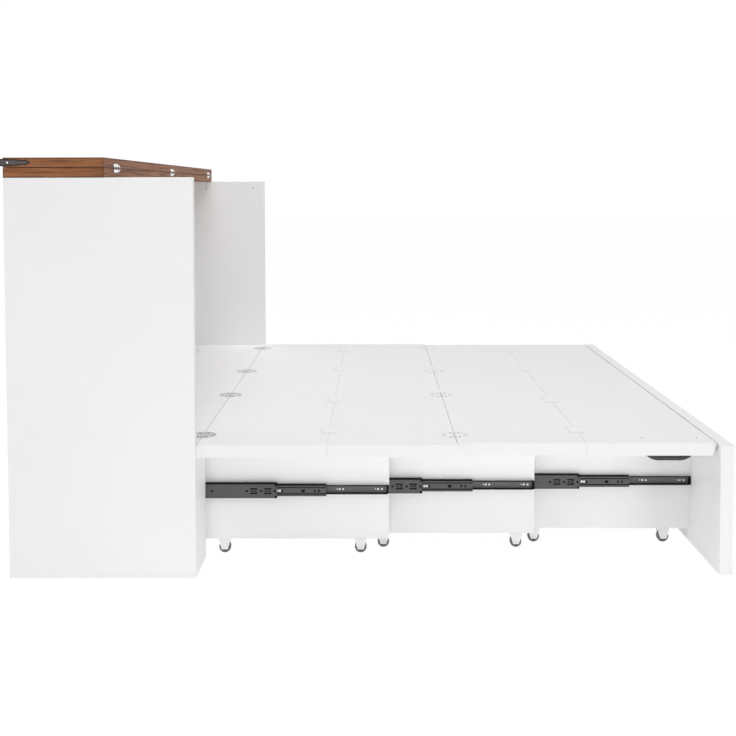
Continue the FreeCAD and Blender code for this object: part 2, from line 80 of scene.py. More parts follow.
def addTo(whole, part, finish=None):
    # puts one bmesh into another, with a material index for all of its faces where one is given
    if finish is not None:
        for face in part.faces:
            face.material_index = finish
    mesh = bpy.data.meshes.new("part")
    part.to_mesh(mesh)
    part.free()
    whole.from_mesh(mesh)
    bpy.data.meshes.remove(mesh)


def smoothByAngle(piece, degrees=35):
    piece.data.polygons.foreach_set("use_smooth", [True] * len(piece.data.polygons))
    piece.data.set_sharp_from_angle(angle=math.radians(degrees))


def placePiece(node, bm, finishes, smooth=None):
    piece = looseObject(camel(node), bm)
    for finish in finishes:
        piece.data.materials.append(finish)
    if smooth:
        smoothByAngle(piece, smooth)
    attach(piece, nodeBody[node])
    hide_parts(node)


def finishNode(node, finish):
    # a node whose shape is right keeps its mesh and takes the finish
    shown = frame["nodes"][node]
    shown.data.materials.clear()
    shown.data.materials.append(finish)


def limits(verts):
    points = [vert.co for vert in verts]
    low = Vector(min(point[axis] for point in points) for axis in range(3))
    high = Vector(max(point[axis] for point in points) for axis in range(3))
    return low, high


def vertsOf(geom):
    return [part for part in geom if isinstance(part, bmesh.types.BMVert)]


def facesOf(geom):
    return [part for part in geom if isinstance(part, bmesh.types.BMFace)]


def ringOf(geom):
    # the new verts of an extrusion and the edges that join them
    verts = vertsOf(geom)
    return verts, [part for part in geom if isinstance(part, bmesh.types.BMEdge)
                   and all(vert in verts for vert in part.verts)]


def allOf(bm):
    return bm.verts[:] + bm.edges[:] + bm.faces[:]


def moveMesh(bm, step, verts=None):
    bmesh.ops.translate(bm, vec=step, verts=verts or bm.verts)


def scaleMesh(bm, scales, verts=None):
    bmesh.ops.scale(bm, vec=scales, verts=verts or bm.verts)


def turnMesh(bm, angle, axis, verts=None):
    bmesh.ops.rotate(bm, cent=(0, 0, 0), matrix=Matrix.Rotation(angle, 3, axis), verts=verts or bm.verts)


def fuse(bm):
    bmesh.ops.remove_doubles(bm, verts=bm.verts, dist=mergeDistance)


def faceOut(bm):
    bmesh.ops.recalc_face_normals(bm, faces=bm.faces)


def trim(bm, height, facing):
    # cuts off what lies above a height, or below it where facing is -1
    bmesh.ops.bisect_plane(bm, geom=allOf(bm), dist=mergeDistance, plane_co=(0, 0, height),
                           plane_no=(0, 0, facing), clear_outer=True)


def closedLoop(bm, verts):
    return [bm.edges.new((verts[number - 1], verts[number])) for number in range(len(verts))]


def edgesWhere(bm, test):
    return [edge for edge in bm.edges if all(test(vert.co) for vert in edge.verts)]


def mergedCopy(node):
    bm = bmesh.new()
    bm.from_mesh(frame["nodes"][node].data)
    fuse(bm)
    return bm


def connected(things, neighbours):
    # groups of things that steps to their neighbours join
    seen, groups = set(), []
    for seed in things:
        if seed in seen:
            continue
        seen.add(seed)
        group, waiting = [], [seed]
        while waiting:
            thing = waiting.pop()
            group.append(thing)
            fresh = [other for other in dict.fromkeys(neighbours(thing)) if other not in seen]
            seen.update(fresh)
            waiting += fresh
        groups.append(group)
    return groups


def islands(bm):
    return connected(bm.verts, lambda vert: [edge.other_vert(vert) for edge in vert.link_edges])


def solidBoxes(node):
    bm = mergedCopy(node)
    boxes = [limits(group) for group in islands(bm)]
    bm.free()
    return boxes


def cadSolids(node):
    whole = mergedCopy(node)
    whole.verts.index_update()
    solids = []
    for group in [{vert.index for vert in group} for group in islands(whole)]:
        solid = whole.copy()
        bmesh.ops.delete(solid, geom=[v for v in solid.verts if v.index not in group], context="VERTS")
        solids.append(solid)
    whole.free()
    return solids


def combine(base, tool, operation, crossing=False):
    # one boolean between two bmeshes, which are used up; crossing says that the tool's parts overlap
    baseObject, toolObject = looseObject("base", base), looseObject("tool", tool)
    step = baseObject.modifiers.new("combine", "BOOLEAN")
    step.operation, step.solver, step.object = operation, "EXACT", toolObject
    step.use_self = crossing
    graph = bpy.context.evaluated_depsgraph_get()
    mesh = bpy.data.meshes.new_from_object(baseObject.evaluated_get(graph))
    result = bmesh.new()
    result.from_mesh(mesh)
    bpy.data.meshes.remove(mesh)
    dropObject(baseObject)
    dropObject(toolObject)
    return result


def boxMesh(low, high):
    bm = bmesh.new()
    bmesh.ops.create_cube(bm, size=1.0)
    scaleMesh(bm, Vector(high) - Vector(low))
    moveMesh(bm, (Vector(low) + Vector(high)) / 2)
    return bm


def rodMesh(centre, axis, radius, length, sides=24):
    bm = bmesh.new()
    bmesh.ops.create_cone(bm, cap_ends=True, segments=sides, radius1=radius, radius2=radius, depth=length)
    turn = Vector((0, 0, 1)).rotation_difference(Vector(axis)).to_matrix()
    bmesh.ops.rotate(bm, cent=(0, 0, 0), matrix=turn, verts=bm.verts)
    moveMesh(bm, centre)
    return bm


def roundEdges(bm, edges, radius, segments=3):
    bmesh.ops.bevel(
        bm, geom=edges, offset=radius, offset_type="OFFSET", segments=segments, profile=0.5,
        affect="EDGES", clamp_overlap=True, material=-1,
    )


def closeEnds(bm):
    # caps a spun tube whose first or last ring is open
    bmesh.ops.holes_fill(bm, edges=[edge for edge in bm.edges if edge.is_boundary], sides=0)
    faceOut(bm)


def mirrored(bm):
    # the same piece on the far side
    copy = bm.copy()
    scaleMesh(copy, (1, -1, 1))
    bmesh.ops.reverse_faces(copy, faces=copy.faces)
    return copy


# shader helpers
def shaderGroup(name, inputs, outputs):
    # a number makes a float input, three numbers or none a vector; the outputs are floats
    group = bpy.data.node_groups.new(name, "ShaderNodeTree")
    for label, value in inputs.items():
        kind = "NodeSocketFloat" if isinstance(value, float) else "NodeSocketVector"
        socket = group.interface.new_socket(label, in_out="INPUT", socket_type=kind)
        if value is not None:
            socket.default_value = value
    for label in outputs:
        group.interface.new_socket(label, in_out="OUTPUT", socket_type="NodeSocketFloat")
    return group, group.nodes.new("NodeGroupInput"), group.nodes.new("NodeGroupOutput")


def link(start, end):
    end.id_data.links.new(start, end)


def addNode(tree, kind, **values):
    node = tree.nodes.new("ShaderNode" + kind)
    for name, value in values.items():
        setattr(node, name, value)
    return node


def noiseNode(tree, vector, scale, detail=4.0, roughness=0.55, distortion=0.0):
    node = addNode(tree, "TexNoise")
    values = {"Scale": scale, "Detail": detail, "Roughness": roughness, "Distortion": distortion}
    for label, value in values.items():
        node.inputs[label].default_value = value
    link(vector, node.inputs["Vector"])
    return node


def rangeNode(tree, value, low, high, newLow=0.0, newHigh=1.0):
    node = addNode(tree, "MapRange")
    for label, number in (("From Min", low), ("From Max", high), ("To Min", newLow), ("To Max", newHigh)):
        node.inputs[label].default_value = number
    link(value, node.inputs["Value"])
    return node.outputs["Result"]


def mathNode(tree, operation, first, second):
    node = addNode(tree, "Math", operation=operation)
    for socket, value in zip(node.inputs, (first, second)):
        if isinstance(value, (int, float)):
            socket.default_value = value
        else:
            link(value, socket)
    return node.outputs["Value"]


def mixColour(tree, factor, first, second):
    node = addNode(tree, "Mix", data_type="RGBA")
    for socket, value in zip((node.inputs[0], node.inputs[6], node.inputs[7]), (factor, first, second)):
        if isinstance(value, (int, float)):
            socket.default_value = value
        elif isinstance(value, tuple):
            socket.default_value = (*value, 1.0)
        else:
            link(value, socket)
    return node.outputs[2]


def bumpNode(tree, height, strength, distance):
    node = addNode(tree, "Bump")
    node.inputs["Strength"].default_value = strength
    node.inputs["Distance"].default_value = distance
    link(height, node.inputs["Height"])
    return node.outputs["Normal"]


def objectPlace(tree):
    return addNode(tree, "TexCoord").outputs["Object"]


def bareTree(data):
    data.use_nodes = True
    data.node_tree.nodes.clear()
    return data.node_tree


def newFinish(name):
    finish = bpy.data.materials.new(name)
    tree = bareTree(finish)
    shader, output = addNode(tree, "BsdfPrincipled"), addNode(tree, "OutputMaterial")
    link(shader.outputs["BSDF"], output.inputs["Surface"])
    return finish, tree, shader


# sprayed and moulded surfaces: a soft cloud of shade, and a fine pebble for the bump
def makeSprayGroup():
    scales = {"Cloud Scale": 3.0, "Pebble Scale": 700.0}
    group, into, out = shaderGroup("spray texture", scales, ("Cloud", "Pebble"))
    place = objectPlace(group)
    cloud = noiseNode(group, place, scales["Cloud Scale"], detail=3.0)
    pebble = noiseNode(group, place, scales["Pebble Scale"], detail=2.0, roughness=0.5)
    link(into.outputs["Cloud Scale"], cloud.inputs["Scale"])
    link(into.outputs["Pebble Scale"], pebble.inputs["Scale"])
    link(rangeNode(group, cloud.outputs["Fac"], low=0.3, high=0.7), out.inputs["Cloud"])
    link(pebble.outputs["Fac"], out.inputs["Pebble"])
    return group


# drawn or brushed metal: long fine scratches along one axis
def makeBrushGroup():
    group, into, out = shaderGroup("brush marks", {"Along": (8.0, 900.0, 900.0)}, ("Marks", "Smudge"))
    place = objectPlace(group)
    stretch = addNode(group, "VectorMath", operation="MULTIPLY")
    link(place, stretch.inputs[0])
    link(into.outputs["Along"], stretch.inputs[1])
    marks = noiseNode(group, stretch.outputs["Vector"], scale=1.0, detail=3.0, roughness=0.6)
    smudge = noiseNode(group, place, scale=24.0, detail=4.0, roughness=0.6)
    link(marks.outputs["Fac"], out.inputs["Marks"])
    link(rangeNode(group, smudge.outputs["Fac"], low=0.35, high=0.65), out.inputs["Smudge"])
    return group


# edges: a mask where the surface turns outwards, broken up a little; it carries edge wear, and painted shade
# where a coat's edge colour is darker, as on the slides
def makeEdgeWearShadeGroup():
    group, into, out = shaderGroup("edge wear and painted edge shade", {"Start": 0.52, "End": 0.62}, ("Mask",))
    bend = addNode(group, "NewGeometry").outputs["Pointiness"]
    turn = addNode(group, "MapRange")
    link(bend, turn.inputs["Value"])
    link(into.outputs["Start"], turn.inputs["From Min"])
    link(into.outputs["End"], turn.inputs["From Max"])
    patches = noiseNode(group, objectPlace(group), scale=90.0, detail=4.0, roughness=0.65)
    broken = rangeNode(group, patches.outputs["Fac"], low=0.35, high=0.65, newLow=0.2)
    link(mathNode(group, "MULTIPLY", turn.outputs["Result"], broken), out.inputs["Mask"])
    return group


# walnut figure: broad bands, fine streaks and short dark pores, all running along X of its vector
figure = {  # scales along and across, then detail, roughness and distortion, then the range that shows
    "Bands": ((1.6, 26.0, 60.0), (3.0, 0.55, 0.6), (0.3, 0.7)),
    "Streaks": ((6.0, 230.0, 230.0), (4.0, 0.6, 0.3), (0.41, 0.66)),
    "Pores": ((45.0, 1500.0, 1500.0), (2.0, 0.5, 0.0), (0.6, 0.7)),
}


def makeWalnutGroup():
    group, into, out = shaderGroup("walnut figure", {"Vector": None}, figure)
    for label, (scales, noise, shown) in figure.items():
        stretch = addNode(group, "VectorMath", operation="MULTIPLY")
        stretch.inputs[1].default_value = scales
        link(into.outputs["Vector"], stretch.inputs[0])
        grain = noiseNode(group, stretch.outputs["Vector"], 1.0, *noise)
        link(rangeNode(group, grain.outputs["Fac"], *shown), out.inputs[label])
    return group


sprayGroup = makeSprayGroup()
brushGroup = makeBrushGroup()
edgeWearShadeGroup = makeEdgeWearShadeGroup()
walnutGroup = makeWalnutGroup()


def useGroup(tree, group, **values):
    node = addNode(tree, "Group", node_tree=group)
    for label, value in values.items():
        node.inputs[label.replace("_", " ")].default_value = value
    return node


# what each texture drives: the shade of the coat, its gloss and its relief
sprayed = {"group": sprayGroup, "scales": ("Cloud_Scale", "Pebble_Scale"), "shade": "Cloud", "gloss": "Cloud",
           "relief": "Pebble", "glossSpread": 0.04}
brushed = {"group": brushGroup, "scales": ("Along",), "shade": "Marks", "gloss": "Smudge",
           "relief": "Marks", "glossSpread": 0.06}


def coatFinish(coat, name, look):
    # shades are the dark, light and edge colours, or greys; the edge colour is edge wear, and on the slides
    # painted shade; bump is its strength and height
    dark, light, edge = (shade if isinstance(shade, tuple) else (shade,) * 3 for shade in look["shades"])
    finish, tree, shader = newFinish(name)
    texture = useGroup(tree, coat["group"], **dict(zip(coat["scales"], look["scales"])))
    edgeWearAndShadeMask = useGroup(tree, edgeWearShadeGroup)
    colour = mixColour(tree, texture.outputs[coat["shade"]], dark, light)
    edgeWearAndShadeShare = mathNode(tree, "MULTIPLY", edgeWearAndShadeMask.outputs["Mask"], look["edgeShare"])
    link(mixColour(tree, edgeWearAndShadeShare, colour, edge), shader.inputs["Base Color"])
    low, high = look["rough"] - coat["glossSpread"], look["rough"] + coat["glossSpread"]
    gloss = rangeNode(tree, texture.outputs[coat["gloss"]], 0.0, 1.0, low, high)
    link(gloss, shader.inputs["Roughness"])
    link(bumpNode(tree, texture.outputs[coat["relief"]], *look["bump"]), shader.inputs["Normal"])
    shader.inputs["Metallic"].default_value = look.get("metallic", 0.0)
    shader.inputs["Specular IOR Level"].default_value = look.get("specular", 0.5)
    return finish


walnut = {
    "dark": (0.250, 0.098, 0.044), "light": (0.375, 0.160, 0.071), "streak": (0.088, 0.030, 0.013),
    "pore": (0.050, 0.017, 0.008), "streakShare": 0.78, "poreShare": 0.5, "poreDepth": -2.0,
    "bump": (0.12, 0.0002), "rough": (0.45, 0.56), "specular": 0.15,
    # the line sizes and share are for the painted shadow lines on the lid
    "lineWidth": 3.4 * mm, "lineSoft": 0.68 * mm, "footLine": 2.72 * mm, "lineShare": 0.8, "levelTurn": 0.9,
}


def lidShadeLine(tree, ends):
    # painted shadow lines: dark bands along the top and foot of the folded lid's upright faces, and at their
    # rear ends
    place = addNode(tree, "TexCoord")
    spot = addNode(tree, "SeparateXYZ")
    link(place.outputs["Object"], spot.inputs["Vector"])
    facing = addNode(tree, "SeparateXYZ")
    link(place.outputs["Normal"], facing.inputs["Vector"])
    width, soft, footLine = walnut["lineWidth"], walnut["lineSoft"], walnut["footLine"]
    top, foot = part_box("lid_front_board")[1].z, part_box("lid_rear_board")[0]
    band = rangeNode(tree, spot.outputs["Z"], top - width, top - width + soft)
    low = rangeNode(tree, spot.outputs["Z"], foot.z + footLine - soft, foot.z + footLine, 1.0, 0.0)
    band = mathNode(tree, "MAXIMUM", band, low)
    if ends:
        rear = rangeNode(tree, spot.outputs["X"], foot.x + width - soft, foot.x + width, 1.0, 0.0)
        band = mathNode(tree, "MAXIMUM", band, rear)
    level = mathNode(tree, "ABSOLUTE", facing.outputs["Z"], 0.0)
    upright = mathNode(tree, "LESS_THAN", level, walnut["levelTurn"])
    return mathNode(tree, "MULTIPLY", band, upright)


def walnutFinish(name, turn, tint=1.0):
    dark, light, streak = (tuple(part * tint for part in walnut[shade])
                           for shade in ("dark", "light", "streak"))
    finish, tree, shader = newFinish(name)
    mapping = addNode(tree, "Mapping")
    mapping.inputs["Rotation"].default_value = (0, 0, math.radians(turn))
    link(objectPlace(tree), mapping.inputs["Vector"])
    grain = useGroup(tree, walnutGroup)
    link(mapping.outputs["Vector"], grain.inputs["Vector"])
    bands, streaks, pores = grain.outputs
    colour = mixColour(tree, bands, dark, light)
    for mask, share, shade in (
        (streaks, walnut["streakShare"], streak),
        (pores, walnut["poreShare"], walnut["pore"]),
        # the painted shadow lines take the pore colour
        (lidShadeLine(tree, turn == 0), walnut["lineShare"], walnut["pore"]),
    ):
        colour = mixColour(tree, mathNode(tree, "MULTIPLY", mask, share), colour, shade)
    link(colour, shader.inputs["Base Color"])
    rough = rangeNode(tree, streaks, 0.0, 1.0, *walnut["rough"])
    link(rough, shader.inputs["Roughness"])
    height = mathNode(tree, "ADD", streaks, mathNode(tree, "MULTIPLY", pores, walnut["poreDepth"]))
    link(bumpNode(tree, height, *walnut["bump"]), shader.inputs["Normal"])
    shader.inputs["Specular IOR Level"].default_value = walnut["specular"]
    return finish


whiteLacquer = coatFinish(sprayed, "white lacquer", {
    "shades": (0.845, 0.868, 0.90), "edgeShare": 0.35, "rough": 0.46, "scales": (2.2, 620.0),
    "bump": (0.05, 0.0003), "specular": 0.35})
plateLook = {"edgeShare": 0.3, "rough": 0.45, "scales": (30.0, 1500.0), "bump": (0.08, 0.0002)}
whitePaint = coatFinish(sprayed, "white plate paint", {
    **plateLook, "shades": (0.85, 0.875, 0.75), "edgeShare": 0.4, "rough": 0.4})
# painted shade: the grey coat is the shade along the plates' near rims, the pale one the shade along their
# left rims and also the paint of the plates' screws
plateRim = coatFinish(sprayed, "painted shade on plate near rims", {**plateLook, "shades": (0.24, 0.30, 0.36)})
plateLeftShadeAndScrewPaint = coatFinish(sprayed, "pale plate paint with painted shade on left rims", {**plateLook, "shades": (0.66, 0.71, 0.75)})
casterNylon = coatFinish(sprayed, "white caster nylon", {
    "shades": (0.82, 0.85, 0.88), "edgeShare": 0.4, "rough": 0.5, "scales": (40.0, 2200.0),
    "bump": (0.15, 0.0002)})
wheelGrey = coatFinish(sprayed, "grey wheel tread", {
    "shades": ((0.135, 0.135, 0.137), (0.195, 0.195, 0.197), 0.11), "edgeShare": 0.6, "rough": 0.62,
    "scales": (120.0, 1800.0), "bump": (0.3, 0.0003)})
# the slides' dark edge colour, laid on strongly, is painted shade along their flanges
slideLook = {"edgeShare": 0.6, "rough": 0.42, "scales": ((8.0, 700.0, 700.0),), "bump": (0.04, 0.0002),
             "metallic": 0.25}
slideBlack = coatFinish(brushed, "black slide coat", {
    **slideLook, "shades": ((0.072, 0.072, 0.074), (0.106, 0.106, 0.108), (0.05, 0.05, 0.052))})
# painted light: the inner members' coat is a lighter copy of the black slide coat, making up for the shade
# they sit in
slideInnerLit = coatFinish(brushed, "grey slide coat", {
    **slideLook, "shades": ((0.112, 0.112, 0.114), (0.158, 0.158, 0.160), (0.05, 0.05, 0.052))})
# painted shade: a near-black, almost glossless coat for the slides' flanges, bends, cut walls and groove
# slopes and for the sheets behind the punchings; the inner members' end stops take it too
slideShade = coatFinish(brushed, "black slide edges", {
    **slideLook, "shades": ((0.007, 0.007, 0.0075), (0.014, 0.014, 0.0145), (0.02, 0.02, 0.021)),
    "edgeShare": 0.3, "rough": 0.6, "metallic": 0.0, "specular": 0.02})
metalLook = {"edgeShare": 0.4, "scales": ((900.0, 14.0, 900.0),), "bump": (0.08, 0.0001), "metallic": 1.0}
zincLook = {**metalLook, "scales": ((500.0, 500.0, 500.0),), "bump": (0.06, 0.0001)}
brightSteel = coatFinish(brushed, "bright bearing steel", {
    **metalLook, "shades": (0.70, 0.86, 0.92), "edgeShare": 0.5, "rough": 0.24,
    "scales": ((200.0, 900.0, 900.0),), "bump": (0.05, 0.0001)})
satinNickel = coatFinish(brushed, "satin nickel", {
    **metalLook, "shades": ((0.70, 0.70, 0.69), (0.84, 0.84, 0.83), 0.5), "rough": 0.34})
linkSteel = coatFinish(brushed, "polished link steel", {
    **metalLook, "shades": ((0.90, 0.89, 0.87), (0.98, 0.97, 0.95), (0.8, 0.79, 0.78)), "edgeShare": 0.3,
    "rough": 0.3, "scales": ((900.0, 60.0, 900.0),), "bump": (0.05, 0.0001)})
zincDark = coatFinish(brushed, "dull zinc", {
    **zincLook, "shades": ((0.22, 0.22, 0.225), (0.34, 0.34, 0.345), 0.45), "rough": 0.45})
# painted shade: the hinges at the first fold take a shaded copy of the nickel with a much darker rim
shadeRowNickel = coatFinish(brushed, "nickel for the shaded hinge row", {
    **metalLook, "shades": ((0.69, 0.69, 0.68), (0.84, 0.84, 0.83), 0.4), "rough": 0.36})
shadeRowRim = coatFinish(brushed, "nickel rim with painted shade", {
    **metalLook, "shades": ((0.17, 0.17, 0.168), (0.28, 0.28, 0.275), 0.4), "edgeShare": 0.3, "rough": 0.42})
# a darker rim around the leaves' outlines and screw holes
nickelRim = coatFinish(brushed, "darker rim of satin nickel", {
    **metalLook, "shades": ((0.34, 0.34, 0.335), (0.50, 0.50, 0.49), (0.6, 0.6, 0.59)), "edgeShare": 0.3,
    "rough": 0.42})
zincPlate = coatFinish(brushed, "zinc screw plate", {
    **zincLook, "shades": ((0.70, 0.70, 0.71), (0.86, 0.86, 0.87), 0.9), "rough": 0.36})
strapLook = {"rough": 0.5, "scales": (60.0, 1600.0), "bump": (0.2, 0.0002)}
strapIron = coatFinish(sprayed, "dark strap iron", {
    **strapLook, "shades": ((0.066, 0.060, 0.058), (0.090, 0.082, 0.080), 0.12), "edgeShare": 0.3,
    "metallic": 0.3, "specular": 0.35})
# painted shade: a near-black rim around each strap's face stands in for the shade of its thick sides
strapShadeRim = coatFinish(sprayed, "painted shade on strap rims", {
    **strapLook, "shades": ((0.016, 0.015, 0.015), (0.026, 0.025, 0.024), 0.06), "edgeShare": 0.2,
    "specular": 0.06})
handleBlack = coatFinish(sprayed, "black handle paint", {
    "shades": ((0.020, 0.020, 0.021), (0.030, 0.030, 0.031), 0.05), "edgeShare": 0.3, "rough": 0.34,
    "scales": (50.0, 1800.0), "bump": (0.06, 0.0001)})
hingeBrown = coatFinish(sprayed, "brown hinge lacquer", {
    "shades": ((0.070, 0.030, 0.017), (0.105, 0.045, 0.025), (0.15, 0.07, 0.04)), "edgeShare": 0.4,
    "rough": 0.45, "scales": (80.0, 1500.0), "bump": (0.1, 0.0002), "metallic": 0.2})
walnutLong = walnutFinish("walnut veneer", 90)
walnutBand = walnutFinish("walnut end band", 0)
# painted shade: a darkened copy of the walnut for the lid boards' eased edges
walnutEdgeShade = walnutFinish("walnut with painted edge shade", 0, 0.42)
print("finishes made:", len(bpy.data.materials))

# boards: each blank has soft edges and takes the cuts of its solid
boards = {
    "growth": 0.02 * mm, "segments": 3,
    "panel": 1.5 * mm, "lid": 1.0 * mm, "deck": 0.4 * mm, "stage": 1.0 * mm, "foot": 0.8 * mm,
    "seam": 0.9 * mm, "flatTurn": 0.98, "endTurn": 0.7,
}


def boardBlank(solid, radius, growth):
    low, high = limits(solid.verts)
    middle = (low + high) / 2
    lowerEnd = max(vert.co.x for vert in solid.verts if vert.co.z < low.z + mergeDistance)
    grown = Vector((growth, growth, growth))
    blank = boxMesh(low - grown, high + grown)
    for vert in blank.verts:
        if vert.co.x > middle.x and vert.co.z < middle.z:
            vert.co.x = lowerEnd + growth
    roundEdges(blank, blank.edges[:], radius, boards["segments"])
    return blank


def seamTool(x, low, high):
    # a square bar on edge along the top of a glued seam, and one down each end of it
    half = boards["seam"] / math.sqrt(2)
    tool = boxMesh((-half, low.y - half, -half), (half, high.y + half, half))
    turnMesh(tool, math.radians(45), "Y")
    moveMesh(tool, (x, 0, high.z))
    for y in (low.y, high.y):
        post = boxMesh((-half, -half, low.z - half), (half, half, high.z + half))
        turnMesh(post, math.radians(45), "Z")
        moveMesh(post, (x, y, 0))
        addTo(tool, post)
    return tool


def softBoard(node, radius, finishes=(whiteLacquer,), seamAt=None):
    whole = bmesh.new()
    for solid in cadSolids(node):
        plain = len(solid.verts) == 8
        blank = boardBlank(solid, radius, 0.0 if plain else boards["growth"])
        if not plain:
            blank = combine(solid, blank, "INTERSECT")
        if seamAt is not None:
            blank = combine(blank, seamTool(seamAt, *limits(blank.verts)), "DIFFERENCE", crossing=True)
        # on the lid boards the eased faces take the walnut with painted edge shade, and faces towards the
        # ends the cross-grain band
        if len(finishes) > 1:
            blank.normal_update()
            for face in blank.faces:
                eased = max(map(abs, face.normal)) < boards["flatTurn"]
                face.material_index = 2 if eased else int(abs(face.normal.y) > boards["endTurn"])
        addTo(whole, blank)
    placePiece(node, whole, finishes)


for node in ("side_panel_near", "side_panel_far", "back_panel", "side_box_walls", "front_stiles",
             "deck_bearers"):
    softBoard(node, boards["panel"])
for node in ("lid_rear_board", "lid_front_board"):
    softBoard(node, boards["lid"], (walnutLong, walnutBand, walnutEdgeShade))
for section in sections:
    for end in ("rear", "front"):
        softBoard(f"{section}_{end}_board", boards["deck"], seamAt=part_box(f"{section}_rear_board")[1].x)
for stage in stages:
    softBoard(f"stage_{stage}_walls", boards["stage"])
    softBoard(f"stage_{stage}_cross_rails", boards["stage"])
softBoard("foot_panel", boards["foot"])
print("boards made")

# screws: a countersunk head with a cross recess, one for each screw of the frame
screw = {"sides": 20, "crossHalfWidth": 0.16, "crossHalfLength": 0.62, "crossDepth": 0.9 * mm,
         "crossTaper": 0.6, "headDepth": 1.4 * mm, "spinStep": 37, "endSlack": 10 * mergeDistance}


def screwMesh(headRadius, shankRadius, length):
    bm = bmesh.new()
    bmesh.ops.create_circle(bm, segments=screw["sides"], radius=headRadius)
    rimEdges = bm.edges[:]
    wide, reach = headRadius * screw["crossHalfWidth"], headRadius * screw["crossHalfLength"]
    arm = [(reach, -wide), (reach, wide), (wide, wide)]
    cross = [
        bm.verts.new(Matrix.Rotation(math.radians(90 * quarter), 3, "Z") @ Vector((x, y, 0)))
        for quarter in range(4) for x, y in arm
    ]
    crossEdges = closedLoop(bm, cross)
    bmesh.ops.bridge_loops(bm, edges=rimEdges + crossEdges)
    floor, floorEdges = ringOf(bmesh.ops.extrude_edge_only(bm, edges=crossEdges)["geom"])
    scaleMesh(bm, (screw["crossTaper"], screw["crossTaper"], 1), floor)
    moveMesh(bm, (0, 0, -screw["crossDepth"]), floor)
    bmesh.ops.edgeloop_fill(bm, edges=floorEdges)
    edges, radius, depth = rimEdges, headRadius, 0.0
    for nextRadius, nextDepth in ((shankRadius, screw["headDepth"]), (shankRadius, length)):
        verts, edges = ringOf(bmesh.ops.extrude_edge_only(bm, edges=edges)["geom"])
        scaleMesh(bm, (nextRadius / radius, nextRadius / radius, 1), verts)
        moveMesh(bm, (0, 0, depth - nextDepth), verts)
        radius, depth = nextRadius, nextDepth
    bmesh.ops.edgeloop_fill(bm, edges=edges)
    faceOut(bm)
    return bm


def screwPlaces(node):
    # each screw's head centre, outward direction, head radius, shank radius and length
    bm = mergedCopy(node)
    places = []
    for group in islands(bm):
        low, high = limits(group)
        size = high - low
        axis = max(range(3), key=lambda number: size[number])
        middle = (low + high) / 2
        radii = []
        for end in (low[axis], high[axis]):
            ring = [vert.co for vert in group if abs(vert.co[axis] - end) < screw["endSlack"]]
            flat = [point - middle for point in ring]
            for point in flat:
                point[axis] = 0.0
            radii.append(max(point.length for point in flat))
        outward = Vector((0, 0, 0))
        outward[axis] = 1.0 if radii[1] > radii[0] else -1.0
        head = middle.copy()
        head[axis] = high[axis] if radii[1] > radii[0] else low[axis]
        places.append((head, outward, max(radii), min(radii), size[axis]))
    bm.free()
    return places


plateBoxes = [box for section in sections for box in solidBoxes(f"{section}_joining_plates")]
for node, finish in (("cabinet_screws", zincDark), ("section_one_screws", zincDark),
                     ("section_two_screws", zincDark), ("lid_front_screws", zincPlate)):
    whole = bmesh.new()
    for number, (head, outward, headRadius, shankRadius, length) in enumerate(screwPlaces(node)):
        part = screwMesh(headRadius, shankRadius, length)
        spin = Matrix.Rotation(math.radians(screw["spinStep"] * number), 4, "Z")
        turn = Vector((0, 0, 1)).rotation_difference(outward).to_matrix().to_4x4()
        bmesh.ops.transform(part, matrix=Matrix.Translation(head) @ turn @ spin, verts=part.verts)
        painted = any(low.x < head.x < high.x and low.y < head.y < high.y for low, high in plateBoxes)
        addTo(whole, part, int(painted))
    placePiece(node, whole, (finish, plateLeftShadeAndScrewPaint))
print("screws made")

# flat hardware: merged copies of the frame's pieces, dished inside a narrow rim
hardware = {"strapRim": 2.4 * mm, "leafRim": 1.5 * mm, "plateRim": 3.0 * mm, "dish": 0.2 * mm,
            "smallestFlat": 20.0 * mm * mm, "smallestSide": 60.0 * mm * mm, "across": 0.99, "level": 0.99996}


def flatFaces(bm, axis, smallest):
    # the faces of each level patch across the axis that is larger than the smallest area
    def beside(face):
        return [other for edge in face.edges for other in edge.link_faces
                if other.normal.dot(face.normal) > hardware["level"]]
    level = [face for face in bm.faces if abs(face.normal[axis]) > hardware["across"]]
    patches = connected(level, beside)
    return [face for patch in patches if sum(part.calc_area() for part in patch) > smallest for face in patch]


def rimmedCopy(node, rim, axis=2):
    # the copy, the faces of its rims around outline and screw holes, and its solids' boxes
    bm = mergedCopy(node)
    bm.normal_update()
    boxes = [limits(group) for group in islands(bm)]
    smallest = hardware["smallestFlat"] if axis == 2 else hardware["smallestSide"]
    flats = [face for face in flatFaces(bm, axis, smallest) if axis != 2 or face.normal.z > 0]
    grown = bmesh.ops.inset_region(bm, faces=flats, thickness=rim, depth=-hardware["dish"],
                                   use_even_offset=True, use_boundary=True)["faces"]
    for face in grown:
        face.material_index = 1
    return bm, grown, boxes


def rimmedPiece(node, rim, finishes, axis=2):
    placePiece(node, rimmedCopy(node, rim, axis)[0], finishes)


def joiningPlates(node):
    # painted shade: a plate's near rim is painted grey and its left rim pale, as shade on those sides; the
    # rest of it is white
    bm, grown, boxes = rimmedCopy(node, hardware["plateRim"])
    for face in grown:
        place = face.calc_center_median()
        low, high = min(boxes, key=lambda box: ((box[0] + box[1]) / 2 - place).length)
        near = place.y < low.y + hardware["plateRim"]
        left = place.x < low.x + hardware["plateRim"]
        face.material_index = 1 if near else 2 if left else 0
    placePiece(node, bm, (whitePaint, plateRim, plateLeftShadeAndScrewPaint))


for section in sections:
    joiningPlates(f"{section}_joining_plates")
rimmedPiece("corner_straps", hardware["strapRim"], (strapIron, strapShadeRim), 1)
